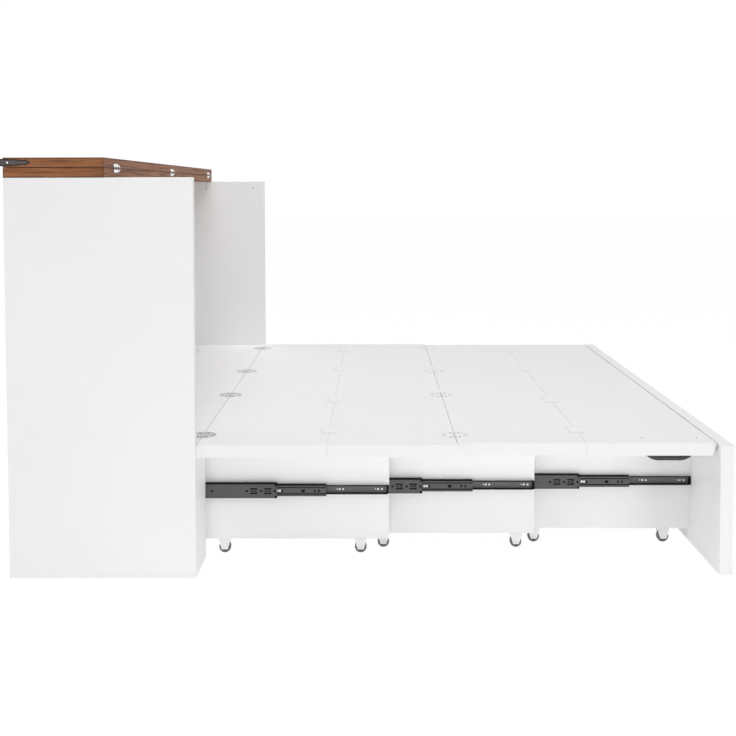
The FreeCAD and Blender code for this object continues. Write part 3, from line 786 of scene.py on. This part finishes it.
# painted shade: the hinges at the first fold are darker copies of the others
for node in ("deck_hinge_leaves", "section_one_rear_leaves"):
    rimmedPiece(node, hardware["leafRim"], (shadeRowNickel, shadeRowRim))
for node in ("section_one_front_leaves", "section_two_leaves"):
    rimmedPiece(node, hardware["leafRim"], (satinNickel, nickelRim))
for node in ("deck_hinge_pins", "section_hinge_pins", "lid_hinge_pins"):
    finishNode(node, satinNickel)
print("deck hinges, plates and straps made")

# lid hinges: two bright lobes and half of a bowed link on each brown leaf
lidHinge = {
    "lobeHalfLength": 10.2 * mm, "lobeHalfHeight": 5.4 * mm, "lobeOffsets": (-14.5 * mm, 6.5 * mm),
    "lobeFromSeam": 8.0 * mm, "lobeDepth": 1.3 * mm, "lobeProud": 0.1 * mm, "lobeSides": 28, "ease": 0.3 * mm,
    "linkMiddle": 15.0 * mm, "linkReach": 20.5 * mm, "linkRadius": 1.8 * mm, "linkSteps": 14, "linkSides": 12,
    "linkFlat": 0.35, "recess": 0.5 * mm, "flush": 0.05 * mm, "seamGap": 0.35 * mm, "smooth": 30,
}


def lidLobe(faceX, y, z):
    lobe = bmesh.new()
    bmesh.ops.create_cone(lobe, cap_ends=True, segments=lidHinge["lobeSides"], radius1=1.0, radius2=1.0,
                          depth=lidHinge["lobeDepth"])
    turnMesh(lobe, math.pi / 2, "Y")
    scaleMesh(lobe, (1, lidHinge["lobeHalfLength"], lidHinge["lobeHalfHeight"]))
    roundEdges(lobe, edgesWhere(lobe, lambda spot: spot.x > 0), lidHinge["ease"])
    moveMesh(lobe, (faceX + lidHinge["lobeProud"] - lidHinge["lobeDepth"] / 2, y, z))
    return lobe


def lidLink(y, side):
    # a quarter of a ring from the seam to the lobes, flattened so that its front stays level with them
    bow = bmesh.new()
    radius, tube = lidHinge["lobeFromSeam"], lidHinge["linkRadius"]
    bmesh.ops.create_circle(bow, cap_ends=True, segments=lidHinge["linkSides"], radius=tube)
    moveMesh(bow, (0, radius, 0))
    skip = math.asin(lidHinge["seamGap"] / radius)
    turnMesh(bow, side * skip, "X")
    bmesh.ops.spin(bow, geom=allOf(bow), cent=(0, 0, 0), axis=(1, 0, 0),
                   angle=side * (math.pi / 2 - skip), steps=lidHinge["linkSteps"], use_duplicate=False)
    closeEnds(bow)
    scaleMesh(bow, (lidHinge["linkFlat"], lidHinge["linkReach"] / radius, 1))
    front = frontEdge + lidHinge["lobeProud"] - tube * lidHinge["linkFlat"]
    moveMesh(bow, (front, y, lidSeam))
    return bow


def makeLidLeaves(node, side):
    # side is 1 for the leaves above the seam and -1 for those below it
    whole = mergedCopy(node)
    boxes = [limits(group) for group in islands(whole)]
    for vert in whole.verts:
        if abs(vert.co.x - frontEdge) < lidHinge["flush"]:
            vert.co.x -= lidHinge["recess"]
    for low, high in boxes:
        middle = (low.y + high.y) / 2
        for offset in lidHinge["lobeOffsets"]:
            addTo(whole, lidLobe(frontEdge, middle + offset, lidSeam + side * lidHinge["lobeFromSeam"]), 1)
        addTo(whole, lidLink(middle + lidHinge["linkMiddle"], side), 1)
    placePiece(node, whole, (hingeBrown, linkSteel), lidHinge["smooth"])


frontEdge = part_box("lid_rear_board")[1].x
lidSeam = (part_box("lid_rear_board")[1].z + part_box("lid_front_board")[0].z) / 2
makeLidLeaves("lid_hinge_lower_leaves", -1)
makeLidLeaves("lid_hinge_upper_leaves", 1)
print("lid hinges made")

# pull handle: a round bar, straight in the middle and bowed up to two feet
handle = {"rod": 7.0 * mm, "sides": 24, "straight": 60.0 * mm, "bowRadius": 48.0 * mm,
          "bowTurn": math.radians(45), "bowSteps": 14, "endRun": 16.0 * mm, "footRadius": 8.0 * mm,
          "footHeight": 8.0 * mm, "footSides": 32, "ease": 1.2 * mm, "smooth": 40}


def runOn(bm, ring, step):
    grown = bmesh.ops.extrude_face_region(bm, geom=ring)["geom"]
    bmesh.ops.delete(bm, geom=ring, context="FACES_ONLY")
    moveMesh(bm, step, vertsOf(grown))
    return facesOf(grown)


def bowUp(bm, ring, centre):
    edges = dict.fromkeys(edge for face in ring for edge in face.edges)
    verts = dict.fromkeys(vert for face in ring for vert in face.verts)
    grown = bmesh.ops.spin(bm, geom=[*verts, *edges, *ring], cent=centre, axis=(0, 1, 0),
                           angle=-handle["bowTurn"], steps=handle["bowSteps"], use_duplicate=False)
    bmesh.ops.delete(bm, geom=[face for face in ring if face.is_valid], context="FACES_ONLY")
    return facesOf(grown["geom_last"])


def makeHandle():
    low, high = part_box("pull_handle")
    centre = (low + high) / 2
    turn, half = handle["bowTurn"], handle["straight"] / 2
    whole = bmesh.new()
    for side in (-1, 1):
        bar = bmesh.new()
        bmesh.ops.create_circle(bar, cap_ends=True, segments=handle["sides"], radius=handle["rod"])
        turnMesh(bar, math.pi / 2, "Y")
        moveMesh(bar, (0, 0, low.z + handle["rod"]))
        end = runOn(bar, bar.faces[:], (half, 0, 0))
        end = bowUp(bar, end, (half, 0, low.z + handle["rod"] + handle["bowRadius"]))
        runOn(bar, end, Vector((math.cos(turn), 0, math.sin(turn))) * handle["endRun"])
        trim(bar, high.z, 1)
        scaleMesh(bar, (side, 1, 1))
        moveMesh(bar, (centre.x, centre.y, 0))
        addTo(whole, bar)
    fuse(whole)
    closeEnds(whole)
    halfSpan = (high.x - low.x) / 2 - handle["footRadius"]
    for side in (-1, 1):
        footCentre = Vector((centre.x + side * halfSpan, centre.y, high.z - handle["footHeight"] / 2))
        foot = rodMesh(footCentre, (0, 0, 1), handle["footRadius"], handle["footHeight"], handle["footSides"])
        roundEdges(foot, edgesWhere(foot, lambda spot: spot.z < footCentre.z), handle["ease"])
        whole = combine(whole, foot, "UNION")
    placePiece("pull_handle", whole, (handleBlack,), handle["smooth"])


makeHandle()
print("pull handle made")

# slides: folded channels with punched webs, caged balls and screws
slide = {
    "sheet": 1.6 * mm, "bend": 3.0 * mm, "tabEnds": (28.4, 71.0), "tabSize": (22.0, 18.5), "tabSlot": 4.4,
    "tabNeck": 3.0, "tabDot": 2.8, "tabDotsAt": (-5.0, 4.0), "outerHoles": (6.6, 48.5, 91.5, 198.0),
    "holeRadius": 3.7, "cornerNotch": (7.0, 6.0), "notchFromEdge": 1.5, "notchPastEnd": 1.0,
    "grooveHalf": 8.0 * mm, "grooveStep": 3.2 * mm, "grooveDepth": 1.4 * mm,
    "middleSlots": ((70.5, 11.0), (35.0, 5.0), (22.5, 5.0)), "middleWindow": (-5.0, 3.4),
    "middleHole": (134.0, -1.0), "middleRivets": (149.0, 141.0), "rivetRadius": 3.6, "rivetSink": 0.7 * mm,
    "rivetEase": 0.5 * mm, "headLength": 1.6 * mm, "headSides": 20,
    "innerScrews": ((33.3, 3.1), (21.5, 2.9), (150.6, 3.1), (139.8, 2.9)), "screwRise": 0.8 * mm,
    "screwEase": 0.6 * mm, "innerMarks": (41.0, 158.3), "markHalf": (1.2, 2.4), "markRise": 0.6 * mm,
    "markSink": 0.2 * mm, "markEase": 0.4 * mm, "ballSides": 2, "cageShare": 3, "tallestRow": 10,
    "heightSlack": 1, "edgeTurn": 0.05, "shadeSheetLength": 210.0 * mm, "shadeSheetGap": 0.05 * mm,
    "shadeSheetThickness": 0.5 * mm, "middleShadeSheet": (-165.0 * mm, -16.0 * mm), "endCap": 7.0 * mm,
    "capEase": 2.2 * mm, "capRecess": 4.0 * mm, "bendSegments": 4, "easeSegments": 2, "holeSides": 16,
    "smooth": 30,
}


def channelMesh(length, web, lip, half, towards=1, groove=False):
    # a folded channel from x = -length to 0, its web at y = web, its flanges reaching to y = lip
    sheet = slide["sheet"] * towards
    outside = [(lip, -half), (web, -half), (web, half), (lip, half)]
    inside = [(lip, half - slide["sheet"]), (web + sheet, half - slide["sheet"]),
              (web + sheet, -half + slide["sheet"]), (lip, -half + slide["sheet"])]
    if groove:
        near, far = slide["grooveHalf"], slide["grooveHalf"] + slide["grooveStep"]
        deep = slide["grooveDepth"] * towards
        outside[2:2] = [(web, -far), (web + deep, -near), (web + deep, near), (web, far)]
        inside[2:2] = [(web + sheet, far), (web + sheet + deep, near),
                       (web + sheet + deep, -near), (web + sheet, -far)]
    bm = bmesh.new()
    start = bm.faces.new([bm.verts.new((-length, y, z)) for y, z in outside + inside])
    grown = bmesh.ops.extrude_face_region(bm, geom=[start])["geom"]
    moveMesh(bm, (length, 0, 0), vertsOf(grown))
    corners = [
        edge for edge in bm.edges
        if abs(edge.verts[0].co.x - edge.verts[1].co.x) > length / 2
        and abs(edge.verts[0].co.y - web) < mergeDistance
        and abs(abs(edge.verts[0].co.z) - half) < mergeDistance
    ]
    roundEdges(bm, corners, slide["bend"], slide["bendSegments"])
    faceOut(bm)
    return bm


def punch(bm, boxes, holes, web):
    # cuts windows and round holes through a web; places are in millimetres from the front end
    tool = bmesh.new()
    through = 4 * slide["sheet"]
    for x0, x1, z0, z1 in boxes:
        addTo(tool, boxMesh((x0 * mm, web - through, z0 * mm), (x1 * mm, web + through, z1 * mm)))
    for x, z, radius in holes:
        addTo(tool, rodMesh((x * mm, web, z * mm), (0, 1, 0), radius * mm, 2 * through,
                            slide["holeSides"]))
    return combine(bm, tool, "DIFFERENCE", crossing=True)


def tabWindows():
    # each bayonet tab is cut free on three sides
    long, tall = slide["tabSize"]
    cut, neck = slide["tabSlot"], slide["tabNeck"]
    windows = []
    for middle in slide["tabEnds"]:
        x0, x1 = -middle - long / 2, -middle + long / 2
        windows += [(x0, x1, tall / 2 - cut, tall / 2), (x0, x1, -tall / 2, -tall / 2 + cut),
                    (x1 - cut, x1, -tall / 2 + cut / 2, -neck), (x1 - cut, x1, neck, tall / 2 - cut / 2)]
    return windows


def outerMember(length, web, lip, half):
    bm = channelMesh(length, web, lip, half)
    long, tall = slide["cornerNotch"]
    edge, past = half / mm - slide["notchFromEdge"], slide["notchPastEnd"]
    notches = [(-long, past, edge - tall, edge), (-long, past, -edge, -edge + tall)]
    holes = [(-x, 0.0, slide["holeRadius"]) for x in slide["outerHoles"]]
    for middle in slide["tabEnds"]:
        holes += [(-middle + at, 0.0, slide["tabDot"]) for at in slide["tabDotsAt"]]
    bm = punch(bm, tabWindows() + notches, holes, web)
    # a near-black sheet behind the punched windows, painted shade
    back = web + slide["sheet"] + slide["shadeSheetGap"]
    addTo(bm, boxMesh((-slide["shadeSheetLength"], back, -half + 2 * slide["sheet"]),
                      (0.0, back + slide["shadeSheetThickness"], half - 2 * slide["sheet"])), 2)
    return bm


def buttonHead(x, y, radius, ease):
    # a flat round head on a web, eased on its near side
    head = rodMesh((-x * mm, y, 0), (0, 1, 0), radius * mm, slide["headLength"], slide["headSides"])
    roundEdges(head, edgesWhere(head, lambda spot: spot.y < y), ease, slide["easeSegments"])
    return head


def middleMember(length, web, lip, half):
    bm = channelMesh(length, web, lip, half, groove=True)
    low, high = slide["middleWindow"]
    windows = [(-x - long / 2, -x + long / 2, low, high) for x, long in slide["middleSlots"]]
    floor = web + slide["grooveDepth"]
    x, z = slide["middleHole"]
    bm = punch(bm, windows, [(-x, z, slide["holeRadius"])], floor)
    for x in slide["middleRivets"]:
        addTo(bm, buttonHead(x, floor - slide["rivetSink"], slide["rivetRadius"], slide["rivetEase"]), 1)
    # a near-black sheet behind the windows, painted shade
    back = floor + slide["sheet"] + slide["shadeSheetGap"]
    tall = slide["grooveHalf"]
    start, end = slide["middleShadeSheet"]
    addTo(bm, boxMesh((start, back, -tall), (end, back + slide["shadeSheetThickness"], tall)), 2)
    return bm


def innerMember(length, web, lip, half):
    bm = channelMesh(length - slide["endCap"], web, lip, half, towards=-1)
    moveMesh(bm, (-slide["endCap"], 0, 0))
    addTo(bm, endCap(web, lip, half), 2)
    face = web - slide["sheet"]
    for x, radius in slide["innerScrews"]:
        addTo(bm, buttonHead(x, face - slide["screwRise"], radius, slide["screwEase"]), 1)
    wide, tall = slide["markHalf"]
    for x in slide["innerMarks"]:
        mark = boxMesh(((-x - wide) * mm, face - slide["markRise"], -tall * mm),
                       ((-x + wide) * mm, face + slide["markSink"], tall * mm))
        roundEdges(mark, mark.edges[:], slide["markEase"], slide["easeSegments"])
        addTo(bm, mark, 1)
    return bm


def endCap(web, lip, half):
    # the moulded stop that closes the front end of an inner member
    cap = boxMesh((-slide["endCap"], lip + slide["capRecess"], -half), (0.0, web, half))
    roundEdges(cap, edgesWhere(cap, lambda spot: spot.x > -mergeDistance), slide["capEase"])
    return cap


def ballRow(low, high):
    # a thin cage with its balls, in the space of the frame's row
    middle, size = (low + high) / 2, high - low
    count = round(size.x / (2 * size.z))
    radius = size.z / 2
    whole = bmesh.new()
    thin = radius / slide["cageShare"]
    addTo(whole, boxMesh((low.x, low.y, middle.z - thin), (high.x, high.y, middle.z + thin)), 0)
    for number in range(count):
        ball = bmesh.new()
        bmesh.ops.create_icosphere(ball, subdivisions=slide["ballSides"], radius=radius)
        x = low.x + size.x * (number + 0.5) / count
        moveMesh(ball, (x, middle.y, middle.z))
        addTo(whole, ball, 1)
    return whole


# a channel's height in millimetres, its maker, and whether its web is on the outer side
memberMakers = [(55, channelMesh, True), (45, outerMember, True), (35, middleMember, True),
                (25, innerMember, False)]


def dressSlides(node):
    whole = bmesh.new()
    for low, high in solidBoxes(node):
        tall = (high.z - low.z) / mm
        if tall < slide["tallestRow"]:
            addTo(whole, ballRow(low, high))
            continue
        if low.y > 0:
            continue
        maker, webNear = next((maker, near) for height, maker, near in memberMakers
                              if abs(height - tall) < slide["heightSlack"])
        web, lip = (low.y, high.y) if webNear else (high.y, low.y)
        part = maker(high.x - low.x, web, lip, (high.z - low.z) / 2)
        moveMesh(part, (high.x, 0, (low.z + high.z) / 2))
        addTo(whole, mirrored(part))
        addTo(whole, part)
    whole.normal_update()
    # painted shade: every face that does not face across the web takes the near-black coat
    for face in whole.faces:
        if face.material_index == 0 and abs(face.normal.y) < 1 - slide["edgeTurn"]:
            face.material_index = 2
    coat = slideInnerLit if node.startswith("stage") else slideBlack
    placePiece(node, whole, (coat, brightSteel, slideShade), slide["smooth"])


dressSlides("slide_1_fixed_rails")
for stage in stages:
    dressSlides(f"slide_{stage}_outer_members")
    dressSlides(f"slide_{stage}_middle_members")
    dressSlides(f"stage_{stage}_slide_rails")
print("slides made")

# casters: eased forks on plain round axles with eased ends, and turned wheels
caster = {"forkEase": 1.2 * mm, "forkTrim": 2.5 * mm, "axleEase": 0.6 * mm, "tallestAxle": 10 * mm,
          "treadRound": 2.2 * mm, "hubRadius": 7.0 * mm, "hubStep": 1.0 * mm, "boreRadius": 3.1 * mm,
          "webHalf": 4.5 * mm, "rimInside": 13.0 * mm, "rimStep": 0.6 * mm, "spinSteps": 64,
          "treadHalf": 7.0 * mm, "slack": 0.01 * mm, "axleSegments": 2, "treadSegments": 4,
          "levelTurn": math.radians(1), "smooth": 40}


def makeForks(node):
    whole = bmesh.new()
    for solid in cadSolids(node):
        low, high = limits(solid.verts)
        if high.z - low.z < caster["tallestAxle"]:
            solid.free()
            axle = rodMesh((low + high) / 2, (0, 1, 0), (high.z - low.z) / 2, high.y - low.y)
            rims = [e for e in axle.edges if abs(e.verts[0].co.y - e.verts[1].co.y) < mergeDistance]
            roundEdges(axle, rims, caster["axleEase"], caster["axleSegments"])
            addTo(whole, axle, 0)
            continue
        blank = bmesh.new()
        for vert in solid.verts:
            blank.verts.new(vert.co)
        bmesh.ops.convex_hull(blank, input=blank.verts)
        bmesh.ops.delete(blank, geom=[v for v in blank.verts if not v.link_faces], context="VERTS")
        bmesh.ops.dissolve_limit(blank, angle_limit=caster["levelTurn"], verts=blank.verts, edges=blank.edges)
        centre = (low + high) / 2
        size = high - low
        grow = Vector((size[axis] + 2 * boards["growth"]) / size[axis] for axis in range(3))
        bmesh.ops.scale(blank, vec=grow, space=Matrix.Translation(-centre), verts=blank.verts)
        roundEdges(blank, blank.edges[:], caster["forkEase"])
        fork = combine(solid, blank, "INTERSECT")
        trim(fork, low.z + caster["forkTrim"], -1)
        closeEnds(fork)
        addTo(whole, fork, 0)
    placePiece(node, whole, (casterNylon,))


def makeWheels(node):
    whole = bmesh.new()
    for low, high in solidBoxes(node):
        centre = (low + high) / 2
        radius, hubHalf = (high.z - low.z) / 2, (high.y - low.y) / 2
        wheel = bmesh.new()
        tread, web, inside = caster["treadHalf"], caster["webHalf"], caster["rimInside"]
        hub = caster["hubRadius"]
        half = [(caster["boreRadius"], hubHalf), (hub, hubHalf), (hub + caster["hubStep"], web),
                (inside - caster["rimStep"], web), (inside, tread), (radius, tread)]
        outline = half + [(distance, -side) for distance, side in reversed(half)]
        verts = [wheel.verts.new((distance, side, 0)) for distance, side in outline]
        bmesh.ops.spin(wheel, geom=verts + closedLoop(wheel, verts), cent=(0, 0, 0), axis=(0, 1, 0),
                       angle=2 * math.pi, steps=caster["spinSteps"], use_merge=True)
        fuse(wheel)
        faceOut(wheel)
        outer = edgesWhere(wheel, lambda spot: abs(math.hypot(spot.x, spot.z) - radius) < caster["slack"]
                           and abs(abs(spot.y) - tread) < caster["slack"])
        shoulders = [edge for edge in outer if edge.verts[0].co.y * edge.verts[1].co.y > 0]
        roundEdges(wheel, shoulders, caster["treadRound"], caster["treadSegments"])
        moveMesh(wheel, centre)
        addTo(whole, wheel)
    placePiece(node, whole, (wheelGrey,), caster["smooth"])


for stage in stages:
    makeForks(f"stage_{stage}_casters")
    for end in ("rear", "front"):
        makeWheels(f"stage_{stage}_{end}_wheels")
print("casters made")

# floor, world, lamps and camera
stageSet = {"floorHalf": 30.0, "floorDrop": 0.2 * mm, "floorShade": 0.9, "shadowShare": 0.02,
            "floorGlow": 0.42, "worldStrength": 0.07}


def whiteRays(tree):
    # one where a camera, glossy or transmission ray looks
    path = addNode(tree, "LightPath")
    either = mathNode(tree, "MAXIMUM", path.outputs["Is Camera Ray"], path.outputs["Is Glossy Ray"])
    return mathNode(tree, "MAXIMUM", either, path.outputs["Is Transmission Ray"])


def rayMix(tree, share, lights, shows, output):
    mix = addNode(tree, "MixShader")
    for socket, value in zip(mix.inputs, (share, lights, shows)):
        link(value, socket)
    link(mix.outputs["Shader"], addNode(tree, output).inputs["Surface"])


def makeFloor():
    bm = bmesh.new()
    bmesh.ops.create_grid(bm, x_segments=1, y_segments=1, size=stageSet["floorHalf"])
    moveMesh(bm, (0, 0, -stageSet["floorDrop"]))
    floor = looseObject("paleFloor", bm)
    finish = bpy.data.materials.new("pale floor")
    tree = bareTree(finish)
    lit = addNode(tree, "BsdfDiffuse")
    shade = stageSet["floorShade"]
    lit.inputs["Color"].default_value = (shade, shade, shade, 1)
    table, glow = addNode(tree, "Emission"), addNode(tree, "Emission")
    table.inputs["Strength"].default_value = stageSet["floorGlow"]
    both = addNode(tree, "AddShader")
    link(lit.outputs["BSDF"], both.inputs[0])
    link(table.outputs["Emission"], both.inputs[1])
    share = mathNode(tree, "MULTIPLY", whiteRays(tree), 1 - stageSet["shadowShare"])
    rayMix(tree, share, both.outputs["Shader"], glow.outputs["Emission"], "OutputMaterial")
    floor.data.materials.append(finish)


def makeWorld():
    scene.world = bpy.data.worlds.new("white room")
    tree = bareTree(scene.world)
    room, seen = addNode(tree, "Background"), addNode(tree, "Background")
    room.inputs["Strength"].default_value = stageSet["worldStrength"]
    for background in (room, seen):
        background.inputs["Color"].default_value = (1, 1, 1, 1)
    lights, shows = room.outputs["Background"], seen.outputs["Background"]
    rayMix(tree, whiteRays(tree), lights, shows, "OutputWorld")


def addLamp(name, place, target, size, power):
    data = bpy.data.lights.new(name, "AREA")
    data.shape, data.size, data.size_y, data.energy = "RECTANGLE", size, size / 2, power
    lamp = bpy.data.objects.new(name, data)
    lamp.location = place
    lamp.rotation_euler = (Vector(target) - Vector(place)).to_track_quat("-Z", "Y").to_euler()
    scene.collection.objects.link(lamp)


lamps = {  # place, target, width in metres and power in watts
    "leftSoftbox": ((-9.5, -4.5, 0.9), (0.6, -0.6, 0.3), 4.0, 158.0),
    "rightSoftbox": ((6.5, -8.5, 1.0), (-0.3, -0.6, 0.5), 4.0, 205.0),
    "topSoftbox": ((0.35, -0.3, 6.4), (0.3, 0.0, 0.0), 5.5, 278.0),
    "frontSoftbox": ((0.4, -5.0, 5.5), (0.3, 0.0, 0.2), 4.0, 90.0),
    "cameraSoftbox": ((0.1, -7.5, 2.4), (0.2, 0.0, 0.4), 4.0, 38.0),
}
photoCamera = {"place": (0.01072, -3.19163, 1.11919), "pitch": 0.03659, "yaw": -0.00608, "roll": -0.00222,
               "focalPixels": 847.99, "frame": 736, "centreRow": 218.83, "sensor": 36.0}


def makeCamera():
    data = bpy.data.cameras.new("photoCamera")
    data.sensor_width = photoCamera["sensor"]
    data.lens = photoCamera["focalPixels"] / photoCamera["frame"] * photoCamera["sensor"]
    data.shift_y = photoCamera["centreRow"] / photoCamera["frame"] - 0.5
    camera = bpy.data.objects.new("photoCamera", data)
    pitch, yaw, roll = photoCamera["pitch"], photoCamera["yaw"], photoCamera["roll"]
    ahead = Vector((math.sin(yaw) * math.cos(pitch), math.cos(yaw) * math.cos(pitch), -math.sin(pitch)))
    level = Vector((math.cos(yaw), -math.sin(yaw), 0))
    upward = level.cross(ahead)
    right = math.cos(roll) * level + math.sin(roll) * upward
    up = math.cos(roll) * upward - math.sin(roll) * level
    turn = Matrix((right, up, -ahead)).transposed()
    camera.matrix_world = Matrix.Translation(photoCamera["place"]) @ turn.to_4x4()
    scene.collection.objects.link(camera)
    scene.camera = camera


makeFloor()
makeWorld()
for name, (place, target, size, power) in lamps.items():
    addLamp(name, place, target, size, power)
makeCamera()
scene.view_settings.view_transform = "Standard"
print("floor, lamps and camera made")
